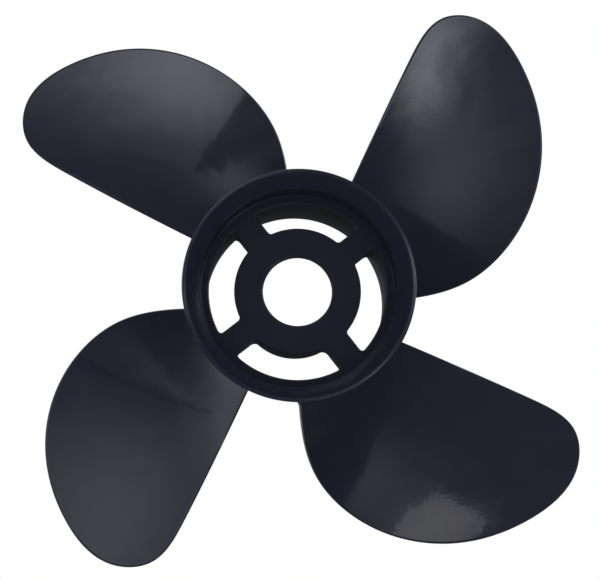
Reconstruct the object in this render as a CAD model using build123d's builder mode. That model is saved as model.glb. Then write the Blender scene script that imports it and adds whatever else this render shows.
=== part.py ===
"""Four-blade outboard propeller with a through-hub exhaust, a flared aft ring and a push-in drive bush.

The shaft axis is Y. Aft is -Y and forward, towards the boat, is +Y. The origin is the centre of the
aft face of the bush housing. The casting is cut along its natural boundaries into pattern pieces that
meet face to face: hub barrel, flare ring, bush housing, webs and blades. Units are millimetres.
"""

import math
import os

from build123d import *

os.makedirs("parts", exist_ok=True)

# Overall
TIP_RADIUS = 178.0
BLADES = 4
PITCH = 381.0
RAKE_ANGLE = 15.0
LEAD = PITCH / (2 * math.pi)

# Stations along the shaft
RIM_Y = -32.0
SEAM_Y = -6.0
HOUSING_FRONT_Y = 62.0
BARREL_FRONT_Y = 73.0

# Barrel and flare
RIM_RADIUS = 62.3
RIM_ROUND = 2.0
LIP_INNER_Y = -19.0
POCKET_RADIUS = 53.2
BARREL_AFT_RADIUS = 56.0
BARREL_FRONT_RADIUS = 55.4
FLARE_WAIST_RADIUS = 57.6
FLARE_WAIST_Y = -18.0
PASSAGE_AFT_RADIUS = 48.5
PASSAGE_FRONT_RADIUS = 51.8
FRONT_EDGE_ROUND = 1.2

# Bush housing and its webs
HOUSING_RADIUS = 34.8
HOUSING_DRAFT = 2.3
LIP_BORE_RADIUS = 19.0
HOUSING_LIP = 6.0
SEAT_RADIUS = 29.0
SEAT_DEPTH = 32.0
RELIEF_RADIUS = 29.5
WEB_AFT_WIDTH = 14.5
WEB_FRONT_WIDTH = 9.0
WEB_FRONT_Y = 48.0
WEB_FIRST_ANGLE = 38.0
KEY_WIDTH = 9.0
KEY_HEIGHT = 2.0
KEY_CLEARANCE = 0.15

# Drive bush
BUSH_BORE_RADIUS = 24.4
BUSH_CLEARANCE = 0.1
BUSH_CHAMFER = 0.8

# Blades
BLADE_FIRST_ANGLE = 35.0
BLADE_ROOT_Y = 27.5
BLADE_ROOT_RADIUS = 60.0
EDGE_THICKNESS = 2.2
ROOT_FILLET = 2.0
ROOT_THICKNESS = 11.0
TIP_THICKNESS = 2.8
TRAILING_CUP = 2.0
WIDEST_AT = 110.0
WIDEST_HALF_CHORD = 60.0
CHORD_FALL = 24.0
SECTION_STATIONS = (40, 62, 84, 106, 128, 150, 168, 186)
SECTION_SPREAD = (-1.3, -0.9, -0.45, 0, 0.45, 0.9, 1.3)

# Blade outline seen along the shaft, as distances out along the blade and across it. A spline runs from
# the root of the leading edge over its belly and crown to the swept tip, and back to the trailing root.
BLADE_OUTLINE = [
    (42, -27),
    (90, -48),
    (130, -39),
    (160, -10),
    (172, 30),
    (164, 64),
    (146, 75),
    (120, 67),
    (46, 25),
]


def housing_radius_at(y):
    """Outer radius of the drafted bush housing at a station along the shaft."""
    return HOUSING_RADIUS - y * math.tan(math.radians(HOUSING_DRAFT))


def passage_radius_at(y):
    """Inner radius of the exhaust passage, which widens forward from the ledge to the barrel's front."""
    return PASSAGE_AFT_RADIUS + (PASSAGE_FRONT_RADIUS - PASSAGE_AFT_RADIUS) * y / BARREL_FRONT_Y


# Hub barrel: the outer tube of the exhaust passage, with a flat ledge round the slots at its aft end
with BuildPart() as hub_barrel:
    with BuildSketch(Plane.XY):
        with BuildLine():
            Polyline(
                (POCKET_RADIUS, SEAM_Y),
                (BARREL_AFT_RADIUS, SEAM_Y),
                (BARREL_FRONT_RADIUS, BARREL_FRONT_Y),
                (PASSAGE_FRONT_RADIUS, BARREL_FRONT_Y),
                (PASSAGE_AFT_RADIUS, 0),
                (POCKET_RADIUS, 0),
                close=True,
            )
        make_face()
    revolve(axis=Axis.Y)
    fillet(hub_barrel.edges().group_by(Axis.Y)[-1], FRONT_EDGE_ROUND)

# Flare ring: widens the barrel's aft end to a rounded rim with a broad bevel inside it
with BuildPart() as flare_ring:
    with BuildSketch(Plane.XY):
        with BuildLine():
            Spline(
                (BARREL_AFT_RADIUS, SEAM_Y),
                (FLARE_WAIST_RADIUS, FLARE_WAIST_Y),
                (RIM_RADIUS, RIM_Y + RIM_ROUND),
                tangents=((0, -1), (0.2, -1)),
            )
            rim = RadiusArc((RIM_RADIUS, RIM_Y + RIM_ROUND), (RIM_RADIUS - RIM_ROUND, RIM_Y), RIM_ROUND)
            Polyline(
                rim @ 1,
                (POCKET_RADIUS, LIP_INNER_Y),
                (POCKET_RADIUS, SEAM_Y),
                (BARREL_AFT_RADIUS, SEAM_Y),
            )
        make_face()
    revolve(axis=Axis.Y)

# Bush housing: inner hub with a thin aft lip, a keyed seat for the bush and an open front
with BuildPart() as bush_housing:
    with BuildSketch(Plane.XY):
        with BuildLine():
            Polyline(
                (LIP_BORE_RADIUS, 0),
                (HOUSING_RADIUS, 0),
                (housing_radius_at(HOUSING_FRONT_Y), HOUSING_FRONT_Y),
                (RELIEF_RADIUS, HOUSING_FRONT_Y),
                (RELIEF_RADIUS, HOUSING_LIP + SEAT_DEPTH),
                (SEAT_RADIUS, HOUSING_LIP + SEAT_DEPTH),
                (SEAT_RADIUS, HOUSING_LIP),
                (LIP_BORE_RADIUS, HOUSING_LIP),
                close=True,
            )
        make_face()
    revolve(axis=Axis.Y)
    with BuildSketch(Plane.XZ.offset(-HOUSING_LIP)):
        with PolarLocations(SEAT_RADIUS, BLADES, start_angle=WEB_FIRST_ANGLE):
            Rectangle(2 * (KEY_HEIGHT + KEY_CLEARANCE), KEY_WIDTH + 2 * KEY_CLEARANCE)
    extrude(amount=-(HOUSING_FRONT_Y - HOUSING_LIP), mode=Mode.SUBTRACT)

# Drive bush: polymer sleeve that drives the housing through four keys and pulls out forward
with BuildPart() as drive_bush:
    with BuildSketch(Plane.XZ.offset(-HOUSING_LIP)):
        Circle(SEAT_RADIUS - BUSH_CLEARANCE)
        with PolarLocations(SEAT_RADIUS, BLADES, start_angle=WEB_FIRST_ANGLE):
            Rectangle(2 * KEY_HEIGHT, KEY_WIDTH)
        Circle(BUSH_BORE_RADIUS, mode=Mode.SUBTRACT)
    extrude(amount=-SEAT_DEPTH)
    round_edges = drive_bush.edges().filter_by(GeomType.CIRCLE)
    chamfer(round_edges.filter_by(lambda edge: edge.radius == BUSH_BORE_RADIUS), BUSH_CHAMFER)

# Web: one of the ribs between the exhaust slots, drafted thinner towards the front
with BuildPart() as web:
    with BuildSketch(Plane.XY):
        with BuildLine():
            Polyline(
                (HOUSING_RADIUS, 0),
                (PASSAGE_AFT_RADIUS, 0),
                (passage_radius_at(WEB_FRONT_Y), WEB_FRONT_Y),
                (housing_radius_at(WEB_FRONT_Y), WEB_FRONT_Y),
                close=True,
            )
        make_face()
    revolve(axis=Axis.Y)
    for y, width in ((0, WEB_AFT_WIDTH), (WEB_FRONT_Y, WEB_FRONT_WIDTH)):
        with BuildSketch(Plane.XZ.offset(-y)):
            with Locations((POCKET_RADIUS / 2, 0)):
                Rectangle(POCKET_RADIUS, width)
    loft(mode=Mode.INTERSECT)

for index in range(BLADES):
    with BuildPart() as placed_web:
        add(web.part.rotate(Axis.Y, -WEB_FIRST_ANGLE - index * 360 / BLADES))
    name = f"web_{index + 1}"
    placed_web.part.label = name
    export_step(placed_web.part, f"parts/{name}.step")


def chord_centre(x):
    """Middle of the blade's width at a distance out from the shaft, measured along the blade."""
    return 0.3 * (x - BLADE_ROOT_RADIUS)


def half_chord(x):
    """Half of the blade's width at a distance out from the shaft: widest at mid blade."""
    return WIDEST_HALF_CHORD - CHORD_FALL * ((x - WIDEST_AT) / BLADE_ROOT_RADIUS) ** 2


def pressure_face(x, z):
    """Station of the aft face: a helix of constant pitch, raked aft, cupped at its trailing edge."""
    radius = math.hypot(x, z)
    helix = BLADE_ROOT_Y - LEAD * math.atan2(z, x)
    rake = math.tan(math.radians(RAKE_ANGLE)) * (radius - BLADE_ROOT_RADIUS)
    trailing = max(0.0, (z - chord_centre(x)) / half_chord(x))
    return helix - rake - TRAILING_CUP * trailing**4


def thickness(x, z):
    """Blade thickness: a lens across the chord that thins from root to tip."""
    outward = (x - BLADE_ROOT_RADIUS) / (TIP_RADIUS - BLADE_ROOT_RADIUS)
    middle = ROOT_THICKNESS + (TIP_THICKNESS - ROOT_THICKNESS) * outward
    across = (z - chord_centre(x)) / half_chord(x)
    return EDGE_THICKNESS + (middle - EDGE_THICKNESS) * max(0.0, 1 - across**2)


# Hub envelope: the outer shape of barrel and flare, filled, that trims the blade roots
with BuildPart() as hub_envelope:
    with BuildSketch(Plane.XY):
        with BuildLine():
            Polyline(
                (RIM_RADIUS, RIM_Y + RIM_ROUND),
                (0, RIM_Y + RIM_ROUND),
                (0, BARREL_FRONT_Y),
                (BARREL_FRONT_RADIUS, BARREL_FRONT_Y),
                (BARREL_AFT_RADIUS, SEAM_Y),
            )
            Spline(
                (BARREL_AFT_RADIUS, SEAM_Y),
                (FLARE_WAIST_RADIUS, FLARE_WAIST_Y),
                (RIM_RADIUS, RIM_Y + RIM_ROUND),
                tangents=((0, -1), (0.2, -1)),
            )
        make_face()
    revolve(axis=Axis.Y)

# Blade: a lofted slab between the two faces, trimmed to the blade's outline, that swells at its root
# into a fillet against the hub
with BuildPart() as blade:
    for x in SECTION_STATIONS:
        reach = [chord_centre(x) + s * half_chord(x) for s in SECTION_SPREAD]
        section = Plane(origin=(x, 0, 0), x_dir=(0, 0, 1), z_dir=(1, 0, 0))
        with BuildSketch(section):
            with BuildLine():
                aft = Spline([(z, -pressure_face(x, z)) for z in reach])
                front = Spline([(z, -pressure_face(x, z) - thickness(x, z)) for z in reach])
                Line(aft @ 0, front @ 0)
                Line(aft @ 1, front @ 1)
            make_face()
    loft()
    with BuildSketch(Plane.XZ):
        with BuildLine():
            edge = Spline(BLADE_OUTLINE)
            Line(edge @ 1, edge @ 0)
        make_face()
    extrude(amount=TIP_RADIUS, both=True, mode=Mode.INTERSECT)
    add(hub_envelope.part)
    fillet(blade.edges(Select.NEW), ROOT_FILLET)
    add(hub_envelope.part, mode=Mode.SUBTRACT)

for index in range(BLADES):
    angle = BLADE_FIRST_ANGLE + index * 360 / BLADES
    with BuildPart() as placed_blade:
        add(blade.part.rotate(Axis.Y, -angle))
    name = f"blade_{index + 1}"
    placed_blade.part.label = name
    export_step(placed_blade.part, f"parts/{name}.step")

for piece, name in (
    (hub_barrel, "hub_barrel"),
    (flare_ring, "flare_ring"),
    (bush_housing, "bush_housing"),
    (drive_bush, "drive_bush"),
):
    piece.part.label = name
    export_step(piece.part, f"parts/{name}.step")
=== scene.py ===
"""Looks of the four-blade outboard propeller: one gloss black casting and its moulded drive bush.

Everything is in metres in the frame of the CAD part: the shaft axis is Y, aft is -Y, forward is +Y
and +Z is up. Sizes of the casting are given in millimetres and turned to metres by MM.
"""

import logging
import math
from dataclasses import dataclass
from enum import Enum
from typing import Sequence

import bmesh
import bpy
import numpy as np
from mathutils import Matrix, Vector


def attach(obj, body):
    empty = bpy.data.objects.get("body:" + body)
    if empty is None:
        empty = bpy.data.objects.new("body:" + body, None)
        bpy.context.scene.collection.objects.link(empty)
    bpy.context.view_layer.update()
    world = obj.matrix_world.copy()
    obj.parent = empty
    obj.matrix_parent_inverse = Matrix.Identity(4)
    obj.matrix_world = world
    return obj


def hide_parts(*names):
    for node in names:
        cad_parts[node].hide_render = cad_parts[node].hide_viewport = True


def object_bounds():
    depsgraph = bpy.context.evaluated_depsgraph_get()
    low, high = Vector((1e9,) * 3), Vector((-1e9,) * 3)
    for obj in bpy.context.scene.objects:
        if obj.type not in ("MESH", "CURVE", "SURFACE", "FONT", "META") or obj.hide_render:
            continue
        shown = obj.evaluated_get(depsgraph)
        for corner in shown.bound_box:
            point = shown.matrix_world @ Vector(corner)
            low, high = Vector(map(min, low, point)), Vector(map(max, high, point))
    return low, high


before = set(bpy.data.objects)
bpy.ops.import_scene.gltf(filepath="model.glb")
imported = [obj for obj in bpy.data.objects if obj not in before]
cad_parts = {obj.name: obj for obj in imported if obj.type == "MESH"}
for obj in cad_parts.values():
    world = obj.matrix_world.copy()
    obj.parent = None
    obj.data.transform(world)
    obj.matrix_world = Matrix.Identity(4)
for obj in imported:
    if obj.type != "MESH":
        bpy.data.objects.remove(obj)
CAD_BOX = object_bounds()

LOG = logging.getLogger("propeller")
MM = 0.001
SHAFT = Vector((0, 1, 0))

# Vertices closer than this many millimetres are merged
MERGE_DISTANCE = 0.002
# The hub's outer skin lies outside this radius, and its polished aft skin aft of this depth, in millimetres
OUTER_SKIN_RADIUS = 54.5
AFT_SKIN_DEPTH = 1.0
# Share by which a finish's roughness swings up and down over its surface
GLOSS_SWING = 0.15


class Body(str, Enum):
    """The moving bodies of the part."""

    CASTING = "casting"
    BUSH = "bush"


class Slot(str, Enum):
    """The record's material slots."""

    ENAMEL = "black_enamel"
    POLYMER = "bush_polymer"


# ---------------------------------------------------------------- small helpers


def linear(hex_colour: str) -> tuple[float, float, float, float]:
    """Turns an sRGB hex colour to linear RGBA.

    Args:
        hex_colour: The colour as #RRGGBB.

    Returns:
        Linear red, green, blue and an alpha of 1.
    """
    parts = [int(hex_colour[i : i + 2], 16) / 255 for i in (1, 3, 5)]
    red, green, blue = (c / 12.92 if c <= 0.04045 else ((c + 0.055) / 1.055) ** 2.4 for c in parts)
    return red, green, blue, 1.0


def add_node(
    tree: bpy.types.NodeTree,
    kind: str,
    settings: dict[str, object] | None = None,
    inputs: dict[str | int, object] | None = None,
) -> bpy.types.Node:
    """Adds a shader node with its settings, its input values and its links.

    Args:
        tree: The node tree that gets the node.
        kind: The node's type name.
        settings: Properties of the node and their values.
        inputs: Input sockets by name or number, each with a value or the output socket that feeds it.

    Returns:
        The new node.
    """
    node = tree.nodes.new(kind)
    for name, value in (settings or {}).items():
        setattr(node, name, value)
    for socket, value in (inputs or {}).items():
        if isinstance(value, bpy.types.NodeSocket):
            tree.links.new(value, node.inputs[socket])
        else:
            node.inputs[socket].default_value = value
    return node


def finish_piece(
    name: str,
    bm: bmesh.types.BMesh,
    material: bpy.types.Material,
    body: Body,
    nodes: Sequence[str],
    sharp_angle: float = 40.0,
    passage: bpy.types.Material | None = None,
) -> bpy.types.Object:
    """Turns a bmesh to a smooth shaded object that stands for its CAD nodes.

    Args:
        name: The piece's name.
        bm: The closed mesh, which is freed.
        material: The finish.
        body: The CAD body that the piece rides on.
        nodes: The CAD nodes that the piece stands for.
        sharp_angle: Edges that turn by more than this many degrees stay sharp.
        passage: The finish of the exhaust passage's walls, if the piece has some.

    Returns:
        The new object.
    """
    bmesh.ops.remove_doubles(bm, verts=bm.verts, dist=MERGE_DISTANCE * MM)
    bmesh.ops.recalc_face_normals(bm, faces=bm.faces)
    for face in bm.faces:
        face.smooth = True
        face.material_index = int(passage is not None and lines_passage(face))
    for edge in bm.edges:
        edge.smooth = edge.calc_face_angle(0.0) < math.radians(sharp_angle)
    mesh = bpy.data.meshes.new(name)
    bm.to_mesh(mesh)
    bm.free()
    mesh.materials.append(material)
    if passage is not None:
        mesh.materials.append(passage)
    piece = bpy.data.objects.new(name, mesh)
    bpy.context.scene.collection.objects.link(piece)
    flat = piece.modifiers.new("keep flats flat", "WEIGHTED_NORMAL")
    flat.keep_sharp = True
    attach(piece, body.value)
    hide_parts(*nodes)
    LOG.info("%s: %d faces for %s", name, len(mesh.polygons), ", ".join(nodes))
    return piece


def lines_passage(face: bmesh.types.BMFace) -> bool:
    """Whether a face is a wall inside the hub, forward of the polished aft skin."""
    middle = face.calc_center_median()
    radius = math.hypot(middle.x, middle.z)
    outside = radius > OUTER_SKIN_RADIUS * MM and face.normal.dot(Vector((middle.x, 0, middle.z))) > 0
    return middle.y > AFT_SKIN_DEPTH * MM and not outside


@dataclass(frozen=True)
class Corner:
    """One corner of a turned profile, in millimetres, with the size of its round."""

    radius: float
    y: float
    round: float = 0.0


def turned(profile: Sequence[Corner], steps: int, start: float = 0.0) -> bmesh.types.BMesh:
    """Spins a closed profile once round the shaft.

    Args:
        profile: The corners in order. A corner with a round is bevelled before the spin.
        steps: Steps in the full turn.
        start: Angle of the first step in degrees, anticlockwise seen from aft.

    Returns:
        The closed ring.
    """
    bm = bmesh.new()
    corners = [bm.verts.new((c.radius * MM, c.y * MM, 0)) for c in profile]
    for here, after in zip(corners, corners[1:] + corners[:1]):
        bm.edges.new((here, after))
    for vert, corner in zip(corners, profile):
        if corner.round:
            bmesh.ops.bevel(
                bm,
                geom=[vert],
                offset=corner.round * MM,
                segments=6,
                profile=0.5,
                affect="VERTICES",
                material=-1,
            )
    bmesh.ops.rotate(bm, verts=bm.verts, matrix=Matrix.Rotation(-math.radians(start), 3, "Y"))
    bmesh.ops.spin(
        bm, geom=bm.verts[:] + bm.edges[:], axis=SHAFT, angle=2 * math.pi, steps=steps, use_merge=True
    )
    return bm


# ---------------------------------------------------------------- finishes


@dataclass(frozen=True)
class StovedEnamel:
    """Gloss black stoved enamel sprayed over a polished aluminium casting.

    It is a deep, slightly blue black under a clear wet gloss. The spray leaves faint orange peel, and
    the hand-ground faces below it wave softly, so reflections have uneven, wandering edges.
    """

    colour: str = "#2B2B36"
    colour_thin: str = "#30303B"
    roughness: float = 0.15
    coat_roughness: float = 0.03
    peel_mm: float = 2.2
    peel_depth_mm: float = 0.014
    grinding_mm: float = 17.0
    grinding_depth_mm: float = 0.22
    nib_mm: float = 4.5
    nib_depth_mm: float = 0.012

    def material(self) -> bpy.types.Material:
        """Builds the enamel."""
        made = bpy.data.materials.new("gloss_black_stoved_enamel_on_cast_aluminium")
        made.use_nodes = True
        tree = made.node_tree
        tree.nodes.clear()
        place = add_node(tree, "ShaderNodeTexCoord").outputs["Object"]
        cloud = add_node(
            tree,
            "ShaderNodeTexNoise",
            inputs={"Vector": place, "Scale": 1 / (self.grinding_mm * MM), "Detail": 3.0, "Roughness": 0.5},
        )
        colour = add_node(
            tree,
            "ShaderNodeMix",
            {"data_type": "RGBA"},
            {0: cloud.outputs["Fac"], 6: linear(self.colour), 7: linear(self.colour_thin)},
        )
        gloss = add_node(
            tree,
            "ShaderNodeMapRange",
            inputs={
                0: cloud.outputs["Fac"],
                1: 0.35,
                2: 0.65,
                3: self.roughness * (1 - GLOSS_SWING),
                4: self.roughness * (1 + GLOSS_SWING),
            },
        )
        grinding = add_node(
            tree,
            "ShaderNodeTexNoise",
            inputs={"Vector": place, "Scale": 1 / (self.grinding_mm * MM), "Detail": 1.0, "Roughness": 0.4},
        )
        peel = add_node(
            tree,
            "ShaderNodeTexNoise",
            inputs={"Vector": place, "Scale": 1 / (self.peel_mm * MM), "Detail": 2.0, "Roughness": 0.45},
        )
        nibs = add_node(
            tree,
            "ShaderNodeTexVoronoi",
            {"feature": "F1"},
            {"Vector": place, "Scale": 1 / (self.nib_mm * MM), "Randomness": 1.0},
        )
        nib_height = add_node(
            tree, "ShaderNodeMapRange", inputs={0: nibs.outputs["Distance"], 1: 0.0, 2: 0.16, 3: 1.0, 4: 0.0}
        )
        wave = add_node(
            tree,
            "ShaderNodeBump",
            inputs={
                "Strength": 1.0,
                "Distance": self.grinding_depth_mm * MM,
                "Height": grinding.outputs["Fac"],
            },
        )
        speckle = add_node(
            tree,
            "ShaderNodeBump",
            inputs={
                "Strength": 1.0,
                "Distance": self.nib_depth_mm * MM,
                "Height": nib_height.outputs[0],
                "Normal": wave.outputs["Normal"],
            },
        )
        skin = add_node(
            tree,
            "ShaderNodeBump",
            inputs={
                "Strength": 1.0,
                "Distance": self.peel_depth_mm * MM,
                "Height": peel.outputs["Fac"],
                "Normal": speckle.outputs["Normal"],
            },
        )
        shader = add_node(
            tree,
            "ShaderNodeBsdfPrincipled",
            inputs={
                "Base Color": colour.outputs[2],
                "Roughness": gloss.outputs[0],
                "IOR": 1.5,
                "Coat Weight": 0.5,
                "Coat Roughness": self.coat_roughness,
                "Coat IOR": 1.5,
                "Normal": skin.outputs["Normal"],
                "Coat Normal": skin.outputs["Normal"],
            },
        )
        add_node(tree, "ShaderNodeOutputMaterial", inputs={"Surface": shader.outputs[0]})
        return made


@dataclass(frozen=True)
class AsCastEnamel:
    """The same enamel, sprayed thinly over the passage's unpolished walls.

    The casting's sandy skin shows through it, so it is a rougher, duller black with a fine grit.
    """

    colour: str = "#2A2A36"
    colour_thin: str = "#343441"
    roughness: float = 0.62
    specular: float = 0.3
    grit_mm: float = 0.9
    grit_depth_mm: float = 0.05
    flow_mm: float = 14.0

    def material(self) -> bpy.types.Material:
        """Builds the rough enamel. Its grit is drawn twice too coarse so that it shows."""
        made = bpy.data.materials.new("thin_black_enamel_on_as_cast_wall")
        made.use_nodes = True
        tree = made.node_tree
        tree.nodes.clear()
        place = add_node(tree, "ShaderNodeTexCoord").outputs["Object"]
        cloud = add_node(
            tree,
            "ShaderNodeTexNoise",
            inputs={"Vector": place, "Scale": 1 / (self.flow_mm * MM), "Detail": 3.0},
        )
        colour = add_node(
            tree,
            "ShaderNodeMix",
            {"data_type": "RGBA"},
            {0: cloud.outputs["Fac"], 6: linear(self.colour), 7: linear(self.colour_thin)},
        )
        grit = add_node(
            tree,
            "ShaderNodeTexNoise",
            inputs={"Vector": place, "Scale": 1 / (self.grit_mm * MM), "Detail": 2.0},
        )
        skin = add_node(
            tree,
            "ShaderNodeBump",
            inputs={"Strength": 1.0, "Distance": self.grit_depth_mm * MM, "Height": grit.outputs["Fac"]},
        )
        shader = add_node(
            tree,
            "ShaderNodeBsdfPrincipled",
            inputs={
                "Base Color": colour.outputs[2],
                "Roughness": self.roughness,
                "Specular IOR Level": self.specular,
                "Normal": skin.outputs["Normal"],
            },
        )
        add_node(tree, "ShaderNodeOutputMaterial", inputs={"Surface": shader.outputs[0]})
        return made


@dataclass(frozen=True)
class MouldedAcetal:
    """Black acetal, injection moulded in a spark-eroded tool: satin, with a fine even grain."""

    colour: str = "#141416"
    colour_worn: str = "#1C1C1F"
    roughness: float = 0.42
    grain_mm: float = 0.6
    grain_depth_mm: float = 0.012
    flow_mm: float = 9.0

    def material(self) -> bpy.types.Material:
        """Builds the acetal. Its grain is drawn three times too coarse so that it shows."""
        made = bpy.data.materials.new("satin_black_moulded_acetal")
        made.use_nodes = True
        tree = made.node_tree
        tree.nodes.clear()
        place = add_node(tree, "ShaderNodeTexCoord").outputs["Object"]
        flow = add_node(
            tree,
            "ShaderNodeTexNoise",
            inputs={"Vector": place, "Scale": 1 / (self.flow_mm * MM), "Detail": 4.0, "Distortion": 0.6},
        )
        colour = add_node(
            tree,
            "ShaderNodeMix",
            {"data_type": "RGBA"},
            {0: flow.outputs["Fac"], 6: linear(self.colour), 7: linear(self.colour_worn)},
        )
        sheen = add_node(
            tree,
            "ShaderNodeMapRange",
            inputs={
                0: flow.outputs["Fac"],
                1: 0.3,
                2: 0.7,
                3: self.roughness * (1 - GLOSS_SWING),
                4: self.roughness * (1 + GLOSS_SWING),
            },
        )
        grain = add_node(
            tree,
            "ShaderNodeTexNoise",
            inputs={"Vector": place, "Scale": 1 / (self.grain_mm * MM), "Detail": 2.0},
        )
        skin = add_node(
            tree,
            "ShaderNodeBump",
            inputs={"Strength": 1.0, "Distance": self.grain_depth_mm * MM, "Height": grain.outputs["Fac"]},
        )
        shader = add_node(
            tree,
            "ShaderNodeBsdfPrincipled",
            inputs={
                "Base Color": colour.outputs[2],
                "Roughness": sheen.outputs[0],
                "IOR": 1.48,
                "Normal": skin.outputs["Normal"],
            },
        )
        add_node(tree, "ShaderNodeOutputMaterial", inputs={"Surface": shader.outputs[0]})
        return made


# ---------------------------------------------------------------- the hub


@dataclass(frozen=True)
class Hub:
    """The hub: barrel and flare, the spider of webs inside them and the housing for the drive bush.

    All sizes are in millimetres. The pieces meet under each other's skin, so that the casting shows no
    seams: the spider's flat aft skin covers the barrel's ledge and the housing's lip.
    """

    rim_y: float = -32.0
    seam_y: float = -6.0
    housing_front_y: float = 62.0
    barrel_front_y: float = 73.0
    rim_radius: float = 62.3
    rim_round: float = 2.0
    lip_inner_y: float = -19.0
    pocket_radius: float = 53.2
    barrel_aft_radius: float = 56.0
    barrel_front_radius: float = 55.4
    waist_radius: float = 57.6
    waist_y: float = -18.0
    rim_slope: float = 0.2
    passage_aft_radius: float = 48.5
    passage_front_radius: float = 51.8
    front_round: float = 1.2
    housing_radius: float = 34.8
    housing_draft: float = 2.3
    lip_bore_radius: float = 19.0
    lip: float = 6.0
    seat_radius: float = 29.0
    web_aft_width: float = 14.5
    web_front_width: float = 9.0
    web_front_y: float = 48.0
    web_first_angle: float = 38.0
    webs: int = 4
    keyway_depth: float = 2.15
    keyway_half_angle: float = 8.9
    keyway_margin: float = 0.5
    lip_bore_round: float = 1.0
    ledge_rise: float = 0.02
    pocket_fillet: float = 0.6
    slot_edge_round: float = 0.9
    slot_outer_corner: float = 2.2
    slot_inner_corner: float = 1.6
    tuck: float = 0.3
    support: float = 0.3
    steps: int = 192

    def flare_radius(self, y: np.ndarray | float) -> np.ndarray:
        """Outer radius of the hub at a station along the shaft.

        Args:
            y: Station in millimetres, one or many.

        Returns:
            The barrel's slow taper forward of the seam, and the flare's S-curve aft of it.
        """
        y = np.asarray(y, dtype=float)
        taper = (self.barrel_front_radius - self.barrel_aft_radius) / (self.barrel_front_y - self.seam_y)
        barrel = self.barrel_aft_radius + taper * (y - self.seam_y)
        span = self.seam_y - self.waist_y
        end = self.rim_radius
        middle_slope = (3 * (end - self.barrel_aft_radius) / span - self.rim_slope) / 4
        aft = np.clip(self.seam_y - y, 0, 2 * span)
        first = hermite(aft / span, self.barrel_aft_radius, self.waist_radius, 0, middle_slope * span)
        second = hermite(aft / span - 1, self.waist_radius, end, middle_slope * span, self.rim_slope * span)
        return np.where(y > self.seam_y, barrel, np.where(aft < span, first, second))

    def housing_at(self, y: float) -> float:
        """Outer radius of the drafted bush housing."""
        return self.housing_radius - y * math.tan(math.radians(self.housing_draft))

    def passage_at(self, y: float) -> float:
        """Inner radius of the exhaust passage."""
        growth = (self.passage_front_radius - self.passage_aft_radius) / self.barrel_front_y
        return self.passage_aft_radius + growth * y

    def flare(self) -> bmesh.types.BMesh:
        """Turns the flare ring: an S-curve outside, a rounded rim and a broad bevel inside."""
        stations = np.linspace(self.seam_y, self.rim_y + self.rim_round, 15)
        outside = [Corner(float(self.flare_radius(y)), float(y)) for y in stations]
        rim = [
            Corner(
                self.rim_radius - self.rim_round * (1 - math.cos(turn)),
                self.rim_y + self.rim_round * (1 - math.sin(turn)),
            )
            for turn in np.linspace(0, math.pi / 2, 9)[1:-1]
        ]
        inside = [
            Corner(self.rim_radius - self.rim_round, self.rim_y, 0.5),
            Corner(self.pocket_radius, self.lip_inner_y, 1.0),
            Corner(self.pocket_radius, self.seam_y),
        ]
        return turned(outside + rim + inside, self.steps)

    def barrel(self) -> bmesh.types.BMesh:
        """Turns the barrel. A fillet joins the pocket's wall to the ledge, which the spider covers."""
        under = self.tuck
        profile = [
            Corner(self.barrel_aft_radius, self.seam_y),
            Corner(self.barrel_front_radius, self.barrel_front_y, self.front_round),
            Corner(self.passage_front_radius, self.barrel_front_y, self.front_round),
            Corner(self.passage_at(self.web_front_y), self.web_front_y),
            Corner(self.passage_at(self.web_front_y) + under, self.web_front_y),
            Corner(self.passage_aft_radius + under, 2 * under),
            Corner(self.pocket_radius - self.pocket_fillet, 2 * under),
        ]
        fillet = [
            Corner(
                self.pocket_radius - self.pocket_fillet * (1 - math.sin(turn)),
                self.ledge_rise - self.pocket_fillet * (1 - math.cos(turn)),
            )
            for turn in np.linspace(0, math.pi / 2, 7)
        ]
        return turned(profile + fillet + [Corner(self.pocket_radius, self.seam_y)], self.steps)

    def housing(self) -> bmesh.types.BMesh:
        """Turns the bush housing forward of its lip and cuts the four keyways into its seat."""
        under = self.tuck
        bm = turned(
            [
                Corner(self.seat_radius, self.lip - under),
                Corner(self.housing_at(self.lip) - under, self.lip - under),
                Corner(self.housing_at(self.web_front_y) - under, self.web_front_y),
                Corner(self.housing_at(self.web_front_y), self.web_front_y),
                Corner(self.housing_at(self.housing_front_y), self.housing_front_y, 0.8),
                Corner(self.seat_radius, self.housing_front_y, 0.5),
            ],
            self.steps,
            self.web_first_angle + 180 / self.steps,
        )
        KeyedSleeve(self.seat_radius, self.keyway_depth, self.keyway_half_angle, self).apply(bm)
        return bm

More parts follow.
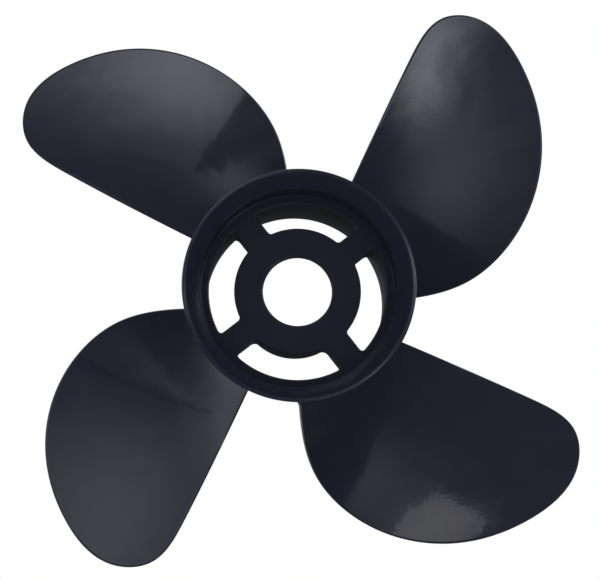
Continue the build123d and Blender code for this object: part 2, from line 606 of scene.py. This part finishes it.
    def slot_loop(self, bm: bmesh.types.BMesh) -> list[bmesh.types.BMVert]:
        """Draws the rounded outline of the first exhaust slot, anticlockwise from its inner corner.

        Args:
            bm: The mesh that gets the outline, in the plane of the aft skin.

        Returns:
            The outline's vertices in order.
        """
        half = self.web_aft_width / 2
        quarter = 2 * math.pi / self.webs
        first = math.radians(self.web_first_angle)
        ends = []
        for radius, sense in ((self.housing_radius, -1), (self.passage_aft_radius, 1)):
            edge = math.asin(half / radius)
            angles = (first + edge, first + quarter - edge)
            start, stop = angles if sense > 0 else angles[::-1]
            vert = bm.verts.new((radius * MM * math.cos(start), 0, radius * MM * math.sin(start)))
            arc = bmesh.ops.spin(
                bm, geom=[vert], axis=SHAFT, angle=-(stop - start), steps=26, use_merge=False
            )
            ends.append((vert, arc["geom_last"][0]))
        (inner_start, inner_end), (outer_start, outer_end) = ends
        bm.edges.new((inner_end, outer_start))
        bm.edges.new((outer_end, inner_start))
        for corner, size in (
            (inner_start, self.slot_inner_corner),
            (inner_end, self.slot_inner_corner),
            (outer_start, self.slot_outer_corner),
            (outer_end, self.slot_outer_corner),
        ):
            bmesh.ops.bevel(
                bm, geom=[corner], offset=size * MM, segments=7, profile=0.5, affect="VERTICES", material=-1
            )
        return ordered(bm)

    def spider(self) -> bmesh.types.BMesh:
        """Builds the four webs with the flat aft skin that joins housing, webs and ledge.

        Each slot's outline is extruded forward: over a small round at the skin, then down drafted walls.

        Returns:
            The closed spider.
        """
        bm = bmesh.new()
        loop = self.slot_loop(bm)
        line = [v.co.copy() for v in loop]
        outward = loop_normals(line)
        deep = self.web_front_y
        draft = {
            "in": (self.housing_radius - self.housing_at(deep)) / deep,
            "out": (self.passage_at(deep) - self.passage_aft_radius) / deep,
            "side": (self.web_aft_width - self.web_front_width) / 2 / deep,
        }
        lean = []
        for place, normal in zip(line, outward):
            radial = normal.dot(place.normalized())
            across = 1 - radial * radial
            lean.append(radial * radial * draft["out" if radial > 0 else "in"] + across * draft["side"])
        edge = self.slot_edge_round
        stages = [(edge + self.support, 0.0), (edge, 0.0)]
        for turn in np.linspace(0, math.pi / 2, 6)[1:]:
            stages.append((edge * (1 - math.sin(turn)), edge * (1 - math.cos(turn))))
        stages += [(0.0, deep / 2), (0.0, deep)]
        place_loop(loop, line, outward, stages[0], lean)
        edges = list(bm.edges)
        for stage in stages[1:]:
            grown = bmesh.ops.extrude_edge_only(bm, edges=edges)["geom"]
            new = [g for g in grown if isinstance(g, bmesh.types.BMVert)]
            edges = [g for g in grown if isinstance(g, bmesh.types.BMEdge)]
            loop = match(new, [v.co.copy() for v in loop])
            place_loop(loop, line, outward, stage, lean)
        bmesh.ops.spin(
            bm,
            geom=bm.verts[:] + bm.edges[:] + bm.faces[:],
            axis=SHAFT,
            angle=-2 * math.pi * (self.webs - 1) / self.webs,
            steps=self.webs - 1,
            use_duplicate=True,
        )
        outer = self.pocket_radius + self.tuck
        hidden = self.seat_radius + self.keyway_depth + self.keyway_margin
        bore, round_size = self.lip_bore_radius, self.lip_bore_round
        flat_from = bore + round_size + self.support
        self.cover(bm, (outer, flat_from), 0.0)
        self.cover(bm, (outer, hidden), deep)
        round_edge = [
            (bore + round_size * (1 - math.sin(turn)), round_size * (1 - math.cos(turn)))
            for turn in np.linspace(0, math.pi / 2, 6)
        ]
        self.sweep(bm, [(outer, 0.0), (outer, deep)])
        behind_lip = [(bore, self.lip), (hidden, self.lip), (hidden, deep)]
        self.sweep(bm, [(flat_from, 0.0)] + round_edge + behind_lip)
        return bm

    def sweep(self, bm: bmesh.types.BMesh, path: Sequence[tuple[float, float]]) -> None:
        """Spins an open line of (radius, y) points round the shaft into the mesh."""
        verts = [bm.verts.new((radius * MM, y * MM, 0)) for radius, y in path]
        edges = [bm.edges.new(pair) for pair in zip(verts, verts[1:])]
        bmesh.ops.spin(
            bm, geom=verts + edges, axis=SHAFT, angle=2 * math.pi, steps=self.steps, use_merge=True
        )

    def cover(self, bm: bmesh.types.BMesh, radii: Sequence[float], y: float) -> None:
        """Fills the flat skin at a station between an outer ring, the slots and an inner ring.

        The mesh is scaled up to millimetres for the fill, and back to metres after it.

        Args:
            bm: The spider's mesh, with the slots' walls already in it.
            radii: Radii of the outer and the inner ring in millimetres.
            y: The skin's station in millimetres.
        """
        border = [e for e in bm.edges if e.is_boundary and abs(e.verts[0].co.y - y * MM) < 0.01 * MM]
        for radius in radii:
            vert = bm.verts.new((radius * MM, y * MM, 0))
            known = set(bm.edges)
            bmesh.ops.spin(bm, geom=[vert], axis=SHAFT, angle=2 * math.pi, steps=self.steps, use_merge=True)
            border += [e for e in bm.edges if e not in known]
        grow = 1 / MM
        bmesh.ops.scale(bm, verts=bm.verts, vec=(grow, grow, grow))
        bmesh.ops.triangle_fill(bm, edges=border, use_beauty=True, use_dissolve=False, normal=SHAFT)
        bmesh.ops.scale(bm, verts=bm.verts, vec=(MM, MM, MM))


def hermite(t: np.ndarray, start: float, end: float, leave: float, arrive: float) -> np.ndarray:
    """A cubic between two values with the given slopes at its ends."""
    t = np.clip(t, 0, 1)
    bend = (2 * t**3 - 3 * t**2 + 1) * start + (3 * t**2 - 2 * t**3) * end
    return bend + (t**3 - 2 * t**2 + t) * leave + (t**3 - t**2) * arrive


def ordered(bm: bmesh.types.BMesh) -> list[bmesh.types.BMVert]:
    """Walks the one closed loop of edges in a mesh and returns its vertices in order."""
    bm.verts.ensure_lookup_table()
    here, came = bm.verts[0], None
    walk = []
    while True:
        walk.append(here)
        edge = next(e for e in here.link_edges if e is not came)
        here, came = edge.other_vert(here), edge
        if here is walk[0]:
            return walk


def loop_normals(line: Sequence[Vector]) -> list[Vector]:
    """In-plane unit normals of a closed flat outline, pointing away from its inside."""
    middle = sum(line, Vector()) / len(line)
    count = len(line)
    normals = []
    for i, place in enumerate(line):
        along = line[(i + 1) % count] - line[i - 1]
        normals.append(along.cross(SHAFT).normalized())
    area = sum((a - middle).cross(b - middle).y for a, b in zip(line, list(line[1:]) + [line[0]]))
    return [n if area > 0 else -n for n in normals]


def place_loop(
    loop: Sequence[bmesh.types.BMVert],
    line: Sequence[Vector],
    outward: Sequence[Vector],
    stage: tuple[float, float],
    lean: Sequence[float],
) -> None:
    """Moves one ring of a slot's wall to its stage.

    Args:
        loop: The ring's vertices.
        line: The slot's outline.
        outward: The outline's normals, pointing into the casting.
        stage: How far the ring stands outside the outline, and its station, in millimetres.
        lean: Draft of the wall at each vertex.
    """
    offset, y = stage
    for vert, place, normal, draft in zip(loop, line, outward, lean):
        vert.co = place + normal * (offset + draft * y) * MM + SHAFT * y * MM


def match(verts: Sequence[bmesh.types.BMVert], places: Sequence[Vector]) -> list[bmesh.types.BMVert]:
    """Orders new vertices by the places of the ones that they were extruded from."""
    left = {tuple(round(c, 9) for c in v.co): v for v in verts}
    return [left[tuple(round(c, 9) for c in place)] for place in places]


@dataclass(frozen=True)
class KeyedSleeve:
    """Cuts keyways into, or raises keys on, one wall of a turned ring."""

    wall_radius: float
    reach: float
    half_angle: float
    hub: Hub

    def apply(self, bm: bmesh.types.BMesh) -> None:
        """Moves the wall's faces in the key sectors outwards, with radial sides.

        Args:
            bm: The turned ring.
        """
        chosen = []
        for face in bm.faces:
            middle = face.calc_center_median()
            corners = [math.hypot(v.co.x, v.co.z) / MM for v in face.verts]
            if any(abs(c - self.wall_radius) > 0.02 for c in corners):
                continue
            angle = math.degrees(math.atan2(middle.z, middle.x)) - self.hub.web_first_angle
            pitch = 360 / self.hub.webs
            if abs((angle + pitch / 2) % pitch - pitch / 2) < self.half_angle:
                chosen.append(face)
        grown = bmesh.ops.extrude_face_region(bm, geom=chosen)["geom"]
        bmesh.ops.delete(bm, geom=chosen, context="FACES_KEEP_BOUNDARY")
        scale = (self.wall_radius + self.reach) / self.wall_radius
        for vert in (g for g in grown if isinstance(g, bmesh.types.BMVert)):
            vert.co.x *= scale
            vert.co.z *= scale


@dataclass(frozen=True)
class DriveBush:
    """The push-in drive bush: a moulded sleeve with a chamfered bore and four keys, in millimetres."""

    aft_y: float = 6.0
    front_y: float = 38.0
    bore_radius: float = 24.4
    outer_radius: float = 28.9
    chamfer: float = 0.8
    key_height: float = 2.1
    key_half_angle: float = 8.4

    def build(self, hub: Hub) -> bmesh.types.BMesh:
        """Turns the sleeve and raises its keys."""
        cut = self.chamfer
        bm = turned(
            [
                Corner(self.bore_radius, self.aft_y + cut),
                Corner(self.bore_radius + cut, self.aft_y),
                Corner(self.outer_radius, self.aft_y),
                Corner(self.outer_radius, self.front_y),
                Corner(self.bore_radius + cut, self.front_y),
                Corner(self.bore_radius, self.front_y - cut),
            ],
            hub.steps,
            hub.web_first_angle + 180 / hub.steps,
        )
        KeyedSleeve(self.outer_radius, self.key_height, self.key_half_angle, hub).apply(bm)
        return bm


# ---------------------------------------------------------------- the blades


@dataclass(frozen=True)
class Blade:
    """One blade: cylindrical sections between a rounded leading edge and a cupped trailing edge.

    Sizes are in millimetres in the blade's own frame: x runs out along the blade, z across it from the
    leading to the trailing edge. The angle of a point is measured from x, as in the CAD.
    """

    hub: Hub
    count: int = 4
    tip_radius: float = 178.0
    pitch: float = 381.0
    rake_angle: float = 15.0
    first_angle: float = 35.0
    root_y: float = 27.5
    root_radius: float = 60.0
    edge_thickness: float = 2.2
    root_thickness: float = 11.0
    tip_thickness: float = 2.8
    cup: float = 2.0
    widest_at: float = 110.0
    widest_half_chord: float = 60.0
    chord_fall: float = 24.0
    chord_lean: float = 0.3
    root_fillet: float = 4.2
    buried: float = 1.8
    blend_height: float = 20.0
    around: int = 128
    fillet_rows: int = 12
    rows: int = 84
    outline: tuple[tuple[float, float], ...] = (
        (42, -27),
        (90, -48),
        (130, -39),
        (160, -10),
        (172, 30),
        (164, 64),
        (146, 75),
        (120, 67),
        (46, 25),
    )

    def edge_line(self) -> np.ndarray:
        """Natural cubic spline through the outline's points, as a dense line of (x, z)."""
        points = np.array(self.outline, dtype=float)
        gaps = np.hypot(*np.diff(points, axis=0).T)
        knots = np.concatenate([[0.0], np.cumsum(gaps)])
        count = len(points)
        system = np.eye(count)
        rise = np.zeros((count, 2))
        for i in range(1, count - 1):
            system[i, i - 1 : i + 2] = gaps[i - 1], 2 * (gaps[i - 1] + gaps[i]), gaps[i]
            leaving = (points[i + 1] - points[i]) / gaps[i]
            arriving = (points[i] - points[i - 1]) / gaps[i - 1]
            rise[i] = 6 * (leaving - arriving)
        bends = np.linalg.solve(system, rise)
        along = np.linspace(0, knots[-1], 1600)
        span = np.clip(np.searchsorted(knots, along) - 1, 0, count - 2)
        gap = gaps[span][:, None]
        after = (along - knots[span])[:, None] / gap
        before = 1 - after
        curve = before * points[span] + after * points[span + 1]
        sag = (before**3 - before) * bends[span] + (after**3 - after) * bends[span + 1]
        return curve + gap**2 / 6 * sag

    def chord_centre(self, x: np.ndarray) -> np.ndarray:
        """Middle of the blade's width."""
        return self.chord_lean * (x - self.root_radius)

    def half_chord(self, x: np.ndarray) -> np.ndarray:
        """Half of the blade's width."""
        return self.widest_half_chord - self.chord_fall * ((x - self.widest_at) / self.root_radius) ** 2

    def pressure_face(self, x: np.ndarray, z: np.ndarray) -> np.ndarray:
        """Station of the aft face: a helix of constant pitch, raked aft and cupped."""
        radius = np.hypot(x, z)
        helix = self.root_y - self.pitch / (2 * math.pi) * np.arctan2(z, x)
        rake = math.tan(math.radians(self.rake_angle)) * (radius - self.root_radius)
        trailing = np.maximum(0, (z - self.chord_centre(x)) / self.half_chord(x))
        return helix - rake - self.cup * trailing**4

    def thickness(self, x: np.ndarray, z: np.ndarray) -> np.ndarray:
        """Thickness: a lens across the chord that thins from root to tip."""
        outward = (x - self.root_radius) / (self.tip_radius - self.root_radius)
        middle = self.root_thickness + (self.tip_thickness - self.root_thickness) * outward
        across = (z - self.chord_centre(x)) / self.half_chord(x)
        return self.edge_thickness + (middle - self.edge_thickness) * np.maximum(0, 1 - across**2)

    def heights(self) -> tuple[np.ndarray, np.ndarray]:
        """Rows of the blade.

        Returns:
            Height of each row above the hub and how far its root fillet swells the section. The first
            two rows are buried in the hub's wall.
        """
        turn = np.linspace(math.pi / 2, 0, self.fillet_rows)
        low = self.root_fillet * (1 - np.sin(turn))
        swell = self.root_fillet * (1 - np.cos(turn))
        top = np.hypot(*self.edge_line().T).max() - self.hub.barrel_aft_radius
        rest = np.sin(np.linspace(0, math.pi / 2, self.rows)[1:])
        high = self.root_fillet + (top - self.root_fillet) * rest
        heights = np.concatenate([[-self.buried, -self.buried], low, high])
        swells = np.concatenate([[0.0, self.root_fillet], swell, np.zeros(len(high))])
        return heights, swells

    def section(self, height: np.ndarray, turn: np.ndarray, edge: np.ndarray) -> tuple[np.ndarray, ...]:
        """Points of the bare sections, without the root fillet.

        Args:
            height: Height above the hub.
            turn: Place round the section: 0 at the leading edge, pi at the trailing edge by the aft face.
            edge: The dense outline.

        Returns:
            Radius, angle, middle station and signed half thickness of each point.
        """
        radii = np.hypot(*edge.T)
        angles = np.arctan2(edge[:, 1], edge[:, 0])
        tip = int(radii.argmax())
        radius = self.hub.barrel_aft_radius + height
        for _ in range(4):
            leading = np.interp(radius, radii[: tip + 1], angles[: tip + 1])
            trailing = np.interp(radius, radii[tip:][::-1], angles[tip:][::-1])
            angle = (leading + trailing) / 2 - np.cos(turn) * (trailing - leading) / 2
            x, z = radius * np.cos(angle), radius * np.sin(angle)
            face, thick = self.pressure_face(x, z), self.thickness(x, z)
            near_hub = np.clip(1 - height / self.blend_height, 0, 1)
            hub_radius = self.hub.flare_radius(face + thick / 2)
            base = self.hub.barrel_aft_radius
            radius = height + base + near_hub * (hub_radius - base)
            radius = np.minimum(radius, radii[tip])
        gap = np.full(len(x), np.inf)
        for a, b in zip(edge[:-1:4], edge[4::4]):
            along = b - a
            t = np.clip(((x - a[0]) * along[0] + (z - a[1]) * along[1]) / along.dot(along), 0, 1)
            gap = np.minimum(gap, np.hypot(x - a[0] - t * along[0], z - a[1] - t * along[1]))
        closing = np.clip(1 - gap / (self.edge_thickness / 2), 0, 1)
        side = np.where(np.abs(np.sin(turn)) < 1e-4, 0, -np.sign(np.sin(turn)))
        half = thick / 2 * np.sqrt(1 - closing**2) * side
        return radius, angle, face + thick / 2, half

    def build(self, index: int) -> bmesh.types.BMesh:
        """Wraps a grid round the sections of one blade.

        Args:
            index: Which blade, from 0.

        Returns:
            The blade, open only where merging doubles closes it.
        """
        heights, swells = self.heights()
        bm = bmesh.new()
        bmesh.ops.create_grid(bm, x_segments=self.around, y_segments=len(heights) - 1, size=1)
        grid = np.array([v.co[:2] for v in bm.verts])
        turn = (grid[:, 0] + 1) * math.pi
        row = np.rint((grid[:, 1] + 1) / 2 * (len(heights) - 1)).astype(int)
        edge = self.edge_line()
        height, swell = heights[row], swells[row]
        radius, angle, middle, half = self.section(height, turn, edge)
        half = np.where(row == 0, 0, half)
        step = 0.3 * math.pi / self.around
        ahead = self.section(height, turn + step, edge)
        behind = self.section(height, turn - step, edge)
        along = radius * (ahead[1] - behind[1])
        climb = (ahead[2] + ahead[3]) - (behind[2] + behind[3])
        length = np.maximum(np.hypot(along, climb), 1e-9)
        facing = -along / length
        room = self.hub.barrel_front_y - self.hub.front_round - middle - half
        swell = swell * np.where(facing > 0, 1 - facing * np.clip(1 - room / self.root_fillet, 0, 1), 1)
        angle = angle + swell * climb / length / radius
        station = middle + half + swell * facing
        near_hub = np.clip(1 - height / self.blend_height, 0, 1)
        shift = self.hub.flare_radius(station) - self.hub.flare_radius(middle)
        radius = radius + near_hub * shift
        spin = angle + math.radians(self.first_angle + index * 360 / self.count)
        places = np.stack([radius * np.cos(spin), station, radius * np.sin(spin)], axis=1) * MM
        for vert, place in zip(bm.verts, places):
            vert.co = place
        return bm


# ---------------------------------------------------------------- the studio


@dataclass(frozen=True)
class SoftBox:
    """A soft light of the studio: where it stands as seen from the object, its spread and its strength.

    Azimuth 0 is aft and 90 to the right. The spread is the angle at which the light falls to about half.
    """

    azimuth: float
    elevation: float
    spread: float
    strength: float

    def direction(self) -> Vector:
        """Unit vector from the object to the light."""
        a, e = math.radians(self.azimuth), math.radians(self.elevation)
        return Vector((math.sin(a) * math.cos(e), -math.cos(a) * math.cos(e), math.sin(e)))

    def tightness(self) -> float:
        """Exponent that makes the light fall to half at the spread."""
        return math.log(2) / (1 - math.cos(math.radians(self.spread)))


@dataclass(frozen=True)
class Panel:
    """A hard-edged light panel that faces the object: where it stands, its size in metres, its radiance."""

    azimuth: float
    elevation: float
    distance: float
    width: float
    height: float
    radiance: float

    def place(self, name: str) -> None:
        """Adds the panel to the scene."""
        data = bpy.data.lights.new(name, "AREA")
        data.shape = "RECTANGLE"
        data.size, data.size_y = self.width, self.height
        data.energy = self.radiance * math.pi * self.width * self.height
        way = SoftBox(self.azimuth, self.elevation, 0, 0).direction()
        light = bpy.data.objects.new(name, data)
        light.location = way * self.distance
        light.rotation_mode = "QUATERNION"
        light.rotation_quaternion = way.to_track_quat("Z", "Y")
        light.visible_camera = False
        bpy.context.scene.collection.objects.link(light)


@dataclass(frozen=True)
class Studio:
    """A plain pale floor, a white backdrop, soft lights and the camera.

    It is staged, not a real room. Mirrored rays see the lights and a dim room, diffuse rays see a brighter
    even room, the fill, and only the camera sees the white backdrop.
    """

    distance: float = 0.9
    azimuth: float = -1.7
    elevation: float = -7.0
    lens_mm: float = 102.2
    sensor_mm: float = 36.0
    framing_shift: tuple[float, float] = (0.001, -0.009)
    floor_drop: float = 0.19
    floor_half_width: float = 12.0
    ambient: float = 0.03
    fill: float = 0.72
    ambient_colour: str = "#EEF0FF"
    light_colour: str = "#F3F8FF"
    boxes: tuple[SoftBox, ...] = (
        SoftBox(50, 10, 11, 1.8),
        SoftBox(80, 20, 10, 0.5),
        SoftBox(40, -30, 6, 2.4),
        SoftBox(30, -50, 12, 0.5),
        SoftBox(-25, 45, 12, 0.7),
        SoftBox(-75, 45, 12, 0.6),
        SoftBox(-60, 5, 10, 0.35),
        SoftBox(-120, 50, 15, 0.9),
        SoftBox(115, 10, 12, 1.2),
        SoftBox(-115, 10, 12, 1.0),
        SoftBox(145, 35, 15, 1.6),
        SoftBox(-150, 25, 15, 1.4),
        SoftBox(180, 10, 40, 0.15),
    )
    panels: tuple[Panel, ...] = (Panel(-45, 0, 6.0, 0.9, 1.1, 1.1),)

    def camera(self) -> None:
        """Places the camera aft of the propeller, a little below the shaft."""
        data = bpy.data.cameras.new("camera")
        data.sensor_width = self.sensor_mm
        data.lens = self.lens_mm
        data.shift_x, data.shift_y = self.framing_shift
        data.clip_start = 0.01
        data.clip_end = 50
        a, e = math.radians(self.azimuth), math.radians(self.elevation)
        back = Vector((math.sin(a) * math.cos(e), -math.cos(a) * math.cos(e), math.sin(e)))
        camera = bpy.data.objects.new("camera", data)
        camera.location = Vector((0, CAD_BOX[0].y, 0)) + back * self.distance
        camera.rotation_mode = "QUATERNION"
        camera.rotation_quaternion = (-back).to_track_quat("-Z", "Y")
        bpy.context.scene.collection.objects.link(camera)
        bpy.context.scene.camera = camera

    def world(self) -> None:
        """Builds the backdrop: white to the camera, and a dim room with soft lights to the object."""
        world = bpy.data.worlds.new("studio")
        world.use_nodes = True
        tree = world.node_tree
        tree.nodes.clear()
        ray = add_node(tree, "ShaderNodeLightPath")
        way = add_node(tree, "ShaderNodeTexCoord").outputs["Generated"]
        total: object = 0.0
        for box in self.boxes:
            facing = add_node(
                tree, "ShaderNodeVectorMath", {"operation": "DOT_PRODUCT"}, {0: way, 1: box.direction()}
            )
            away = add_node(
                tree,
                "ShaderNodeMath",
                {"operation": "MULTIPLY_ADD"},
                {
                    0: facing.outputs["Value"],
                    1: box.tightness(),
                    2: math.log(box.strength) - box.tightness(),
                },
            )
            glow = add_node(tree, "ShaderNodeMath", {"operation": "EXPONENT"}, {0: away.outputs[0]})
            both = add_node(tree, "ShaderNodeMath", {"operation": "ADD"}, {0: total, 1: glow.outputs[0]})
            total = both.outputs[0]
        lights = add_node(
            tree, "ShaderNodeBackground", inputs={"Color": linear(self.light_colour), "Strength": total}
        )
        dim = add_node(
            tree,
            "ShaderNodeBackground",
            inputs={"Color": linear(self.ambient_colour), "Strength": self.ambient},
        )
        mirrored = add_node(tree, "ShaderNodeAddShader", inputs={0: lights.outputs[0], 1: dim.outputs[0]})
        fill = add_node(
            tree,
            "ShaderNodeBackground",
            inputs={"Color": linear(self.ambient_colour), "Strength": self.fill},
        )
        room = add_node(
            tree,
            "ShaderNodeMixShader",
            inputs={0: ray.outputs["Is Diffuse Ray"], 1: mirrored.outputs[0], 2: fill.outputs[0]},
        )
        backdrop = add_node(tree, "ShaderNodeBackground", inputs={"Color": (1, 1, 1, 1), "Strength": 1.0})
        seen = add_node(
            tree,
            "ShaderNodeMixShader",
            inputs={0: ray.outputs["Is Camera Ray"], 1: room.outputs[0], 2: backdrop.outputs[0]},
        )
        add_node(tree, "ShaderNodeOutputWorld", inputs={"Surface": seen.outputs[0]})
        for number, panel in enumerate(self.panels):
            panel.place(f"panel_{number + 1}")
        bpy.context.scene.world = world
        bpy.context.scene.view_settings.view_transform = "Standard"

    def floor(self) -> None:
        """Lays the pale floor below the blade tips.

        It glows evenly, so that it has no horizon, and is hidden from mirrored and diffuse rays.
        """
        bm = bmesh.new()
        bmesh.ops.create_grid(bm, x_segments=1, y_segments=1, size=self.floor_half_width)
        bmesh.ops.translate(bm, verts=bm.verts, vec=(0, 0, CAD_BOX[0].z - self.floor_drop))
        mesh = bpy.data.meshes.new("floor")
        bm.to_mesh(mesh)
        bm.free()
        floor = bpy.data.objects.new("floor", mesh)
        bpy.context.scene.collection.objects.link(floor)
        made = bpy.data.materials.new("pale_studio_floor")
        made.use_nodes = True
        tree = made.node_tree
        tree.nodes.clear()
        shader = add_node(tree, "ShaderNodeEmission", inputs={"Color": (1, 1, 1, 1), "Strength": 1.0})
        add_node(tree, "ShaderNodeOutputMaterial", inputs={"Surface": shader.outputs[0]})
        mesh.materials.append(made)
        floor.visible_glossy = False
        floor.visible_diffuse = False


def main() -> None:
    """Builds the propeller's pieces and the studio."""
    logging.basicConfig(level=logging.INFO, format="%(name)s %(message)s")
    enamel = StovedEnamel().material()
    rough = AsCastEnamel().material()
    acetal = MouldedAcetal().material()
    hub = Hub()
    finish_piece("flare_cast", hub.flare(), enamel, Body.CASTING, ["flare_ring"])
    hollow = (
        ("barrel_cast", hub.barrel(), ["hub_barrel"]),
        ("spider_cast", hub.spider(), [f"web_{i + 1}" for i in range(hub.webs)]),
        ("housing_cast", hub.housing(), ["bush_housing"]),
    )
    for name, mesh, nodes in hollow:
        finish_piece(name, mesh, enamel, Body.CASTING, nodes, passage=rough)
    blade = Blade(hub)
    for index in range(blade.count):
        name = f"blade_{index + 1}"
        finish_piece(f"{name}_cast", blade.build(index), enamel, Body.CASTING, [name])
    finish_piece(
        "bush_sleeve", DriveBush().build(hub), acetal, Body.BUSH, ["drive_bush"], sharp_angle=30
    )
    studio = Studio()
    studio.camera()
    studio.world()
    studio.floor()


if __name__ == "__main__":
    main()
